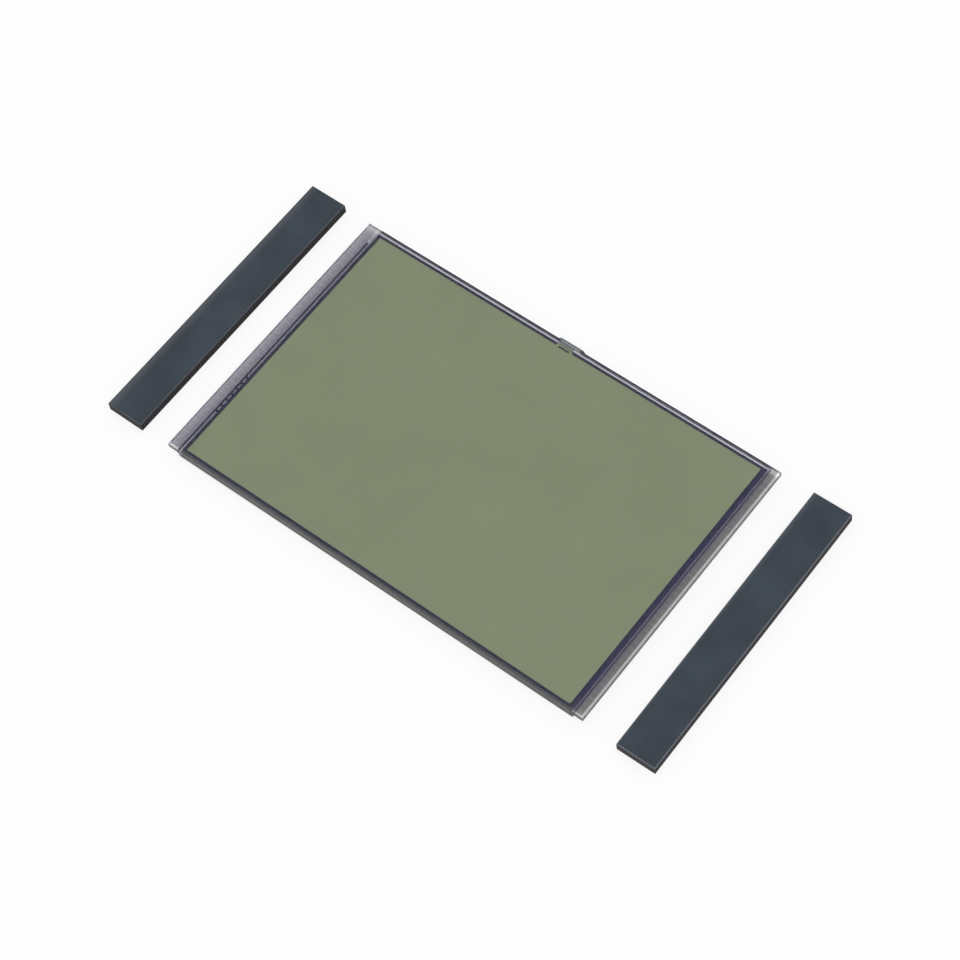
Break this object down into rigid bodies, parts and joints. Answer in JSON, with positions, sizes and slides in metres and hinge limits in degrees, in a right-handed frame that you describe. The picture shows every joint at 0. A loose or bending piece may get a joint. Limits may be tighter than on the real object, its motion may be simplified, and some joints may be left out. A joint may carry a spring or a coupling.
{
  "type": "lcd display",
  "caption": "Flat reflective liquid crystal display of two sealed glasses, with contact ledges at both ends and its layered rubber connector strips lying beside them.",
  "frame": {"origin": "centre of the display's rear face, on the surface that the part lies on", "axes": "+X along the display's long side, +Y towards the long side with the fill port, +Z out of the display's front"},
  "size_m": [0.1321, 0.0632, 0.0027],
  "materials": {
    "front_film": "grey polarizing film with a fine anti-glare face",
    "glass": "clear sheet glass with scored and broken edges",
    "clear_electrode": "thin transparent conductive coating",
    "alignment_film": "thin rubbed transparent film",
    "liquid": "even grey-green field with nothing switched on",
    "seal_resin": "cured seal resin",
    "dot_paste": "dark conductive paste",
    "rear_film": "dark polarizing film",
    "reflector_film": "satin metallised film",
    "plug_resin": "pale translucent cured resin",
    "bead_resin": "dark cured resin",
    "barrier_rubber": "slate silicone rubber with a soft bloom",
    "conductor_rubber": "black carbon-filled silicone",
    "insulator_rubber": "grey unfilled silicone"
  },
  "bodies": {
    "root": {"front_polarizer": "front_film", "front_glass": "glass", "front_electrodes": "clear_electrode", "front_alignment_film": "alignment_film", "liquid_crystal": "liquid", "perimeter_seal": "seal_resin", "transfer_dots": "dot_paste", "rear_alignment_film": "alignment_film", "rear_electrode": "clear_electrode", "rear_glass": "glass", "rear_polarizer": "rear_film", "reflector": "reflector_film", "end_plug": "plug_resin", "ledge_bead": "bead_resin", "left_lower_barrier": "barrier_rubber", "left_core_conductors": "conductor_rubber", "left_core_insulators": "insulator_rubber", "left_upper_barrier": "barrier_rubber", "right_lower_barrier": "barrier_rubber", "right_core_conductors": "conductor_rubber", "right_core_insulators": "insulator_rubber", "right_upper_barrier": "barrier_rubber"}
  },
  "joints": []
}
